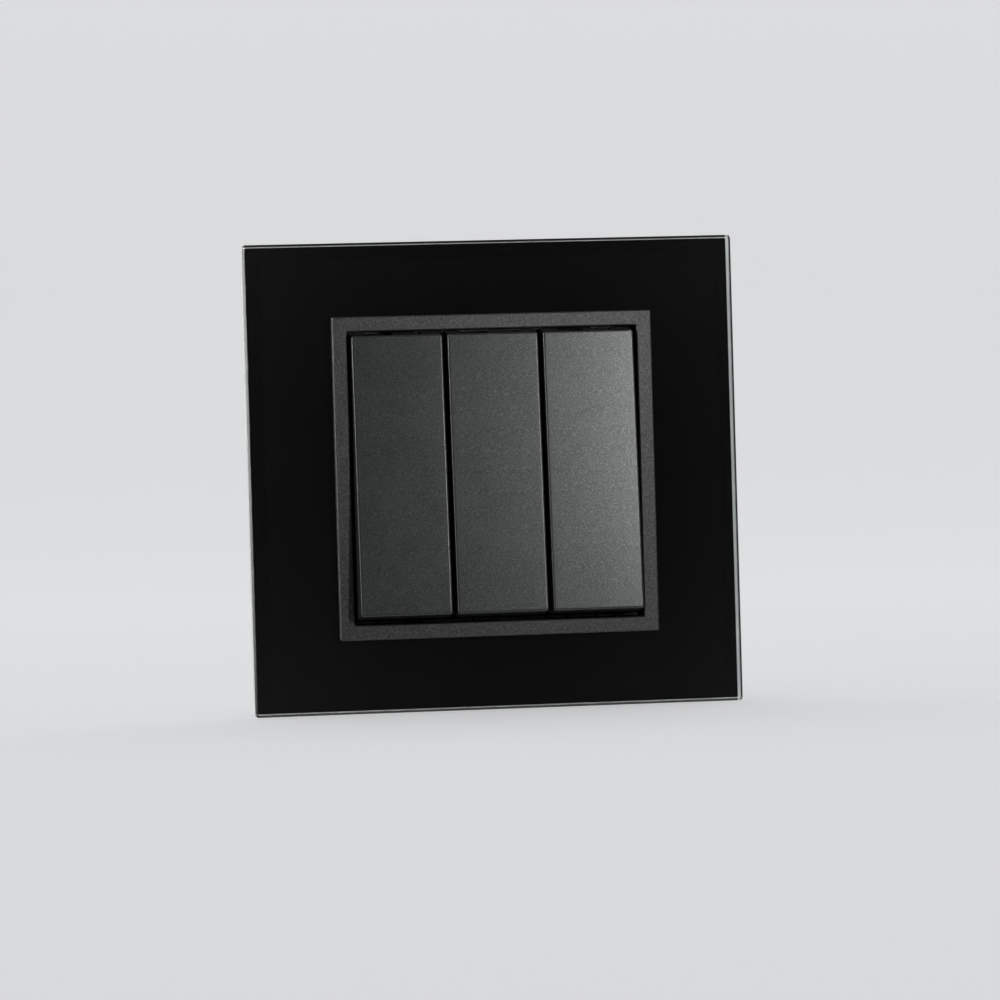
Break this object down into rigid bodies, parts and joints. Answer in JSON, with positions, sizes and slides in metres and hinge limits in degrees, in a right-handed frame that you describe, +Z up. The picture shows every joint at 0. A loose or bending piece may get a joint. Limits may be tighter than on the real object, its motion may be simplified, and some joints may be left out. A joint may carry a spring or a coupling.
{
  "type": "wall light switch",
  "caption": "Flush wall light switch: bevelled black glass frame, square trim bezel, a row of tall rocker keys, and the screw-terminal mechanism behind them.",
  "frame": {"origin": "centre of the mounting yoke's back face, where it lies on the wall over the middle of the wall box", "axes": "+X right as seen from the room, +Y into the wall, +Z up"},
  "size_m": [0.0874, 0.0419, 0.0832],
  "materials": {
    "black_glass": "clear float glass, painted black behind, polished bevel",
    "foam_tape": "closed-cell foam tape",
    "black_plastic": "fine matt moulding",
    "anthracite_trim": "fine metallic grain",
    "anthracite_key": "fine spark-eroded grain, satin",
    "dolly_plastic": "plain moulding",
    "plunger_plastic": "natural acetal",
    "grey_moulding": "flame-proof moulding",
    "zinc_steel": "bright zinc plate",
    "screw_steel": "zinc plate",
    "spring_steel": "drawn wire",
    "copper_blade": "rolled bronze",
    "brass": "stamped",
    "contact_silver": "silver alloy"
  },
  "bodies": {
    "base": {"glass_panel": "black_glass", "bond_pads": "foam_tape", "glass_carrier": "black_plastic", "trim_bezel": "anthracite_trim", "mechanism_cover": "black_plastic", "mounting_yoke": "zinc_steel", "switch_housing": "grey_moulding", "common_busbar": "brass", "fixed_contacts": "contact_silver", "terminal_screws": "screw_steel", "cover_screws": "screw_steel", "output_contact_left": "brass", "output_contact_middle": "brass", "output_contact_right": "brass"},
    "key_left": {"rocker_left": "anthracite_key", "dolly_left": "dolly_plastic", "plunger_spring_left": "spring_steel"},
    "pin_left": {"plunger_left": "plunger_plastic"},
    "blade_left": {"contact_blade_left": "copper_blade", "moving_contact_left": "contact_silver"},
    "key_middle": {"rocker_middle": "anthracite_key", "dolly_middle": "dolly_plastic", "plunger_spring_middle": "spring_steel"},
    "pin_middle": {"plunger_middle": "plunger_plastic"},
    "blade_middle": {"contact_blade_middle": "copper_blade", "moving_contact_middle": "contact_silver"},
    "key_right": {"rocker_right": "anthracite_key", "dolly_right": "dolly_plastic", "plunger_spring_right": "spring_steel"},
    "pin_right": {"plunger_right": "plunger_plastic"},
    "blade_right": {"contact_blade_right": "copper_blade", "moving_contact_right": "contact_silver"},
    "claw_screw_left": {"claw_screw_left": "screw_steel"},
    "claw_left": {"claw_left": "zinc_steel"},
    "claw_screw_right": {"claw_screw_right": "screw_steel"},
    "claw_right": {"claw_right": "zinc_steel"}
  },
  "joints": [
    {"name": "press_left", "type": "hinge", "parent": "base", "child": "key_left", "pos_m": [-0.01705, -0.0075, 0], "axis": [1, 0, 0], "range_deg": [0, 9]},
    {"name": "blade_rock_left", "type": "hinge", "parent": "base", "child": "blade_left", "pos_m": [-0.01705, 0.00825, 0], "axis": [1, 0, 0], "range_deg": [-16.2, 0]},
    {"name": "plunger_slide_left", "type": "slide", "parent": "key_left", "child": "pin_left", "axis": [0, 0.9969, -0.0785], "range_m": [-0.0006, 0], "stiffness_N_per_m": 400, "springref_m": 0.004, "deforming": ["plunger_spring_left"]},
    {"name": "press_middle", "type": "hinge", "parent": "base", "child": "key_middle", "pos_m": [0, -0.0075, 0], "axis": [1, 0, 0], "range_deg": [0, 9]},
    {"name": "blade_rock_middle", "type": "hinge", "parent": "base", "child": "blade_middle", "pos_m": [0, 0.00825, 0], "axis": [1, 0, 0], "range_deg": [-16.2, 0]},
    {"name": "plunger_slide_middle", "type": "slide", "parent": "key_middle", "child": "pin_middle", "axis": [0, 0.9969, -0.0785], "range_m": [-0.0006, 0], "stiffness_N_per_m": 400, "springref_m": 0.004, "deforming": ["plunger_spring_middle"]},
    {"name": "press_right", "type": "hinge", "parent": "base", "child": "key_right", "pos_m": [0.01705, -0.0075, 0], "axis": [1, 0, 0], "range_deg": [0, 9]},
    {"name": "blade_rock_right", "type": "hinge", "parent": "base", "child": "blade_right", "pos_m": [0.01705, 0.00825, 0], "axis": [1, 0, 0], "range_deg": [-16.2, 0]},
    {"name": "plunger_slide_right", "type": "slide", "parent": "key_right", "child": "pin_right", "axis": [0, 0.9969, -0.0785], "range_m": [-0.0006, 0], "stiffness_N_per_m": 400, "springref_m": 0.004, "deforming": ["plunger_spring_right"]},
    {"name": "claw_screw_turn_left", "type": "hinge", "parent": "base", "child": "claw_screw_left", "pos_m": [-0.0246, 0, 0.007], "axis": [0, 1, 0], "range_deg": [0, 1440]},
    {"name": "claw_spread_left", "type": "hinge", "parent": "base", "child": "claw_left", "pos_m": [-0.0246, 0.024, 0.007], "axis": [0, 0, -1], "range_deg": [0, 12]},
    {"name": "claw_screw_turn_right", "type": "hinge", "parent": "base", "child": "claw_screw_right", "pos_m": [0.0246, 0, -0.007], "axis": [0, 1, 0], "range_deg": [0, 1440]},
    {"name": "claw_spread_right", "type": "hinge", "parent": "base", "child": "claw_right", "pos_m": [0.0246, 0.024, -0.007], "axis": [0, 0, 1], "range_deg": [0, 12]}
  ],
  "couplings": [
    {"joint": "blade_rock_left", "follows": "press_left", "ratio": -1.8},
    {"joint": "blade_rock_middle", "follows": "press_middle", "ratio": -1.8},
    {"joint": "blade_rock_right", "follows": "press_right", "ratio": -1.8},
    {"joint": "claw_spread_left", "follows": "claw_screw_turn_left", "ratio": 0.0083},
    {"joint": "claw_spread_right", "follows": "claw_screw_turn_right", "ratio": 0.0083}
  ]
}
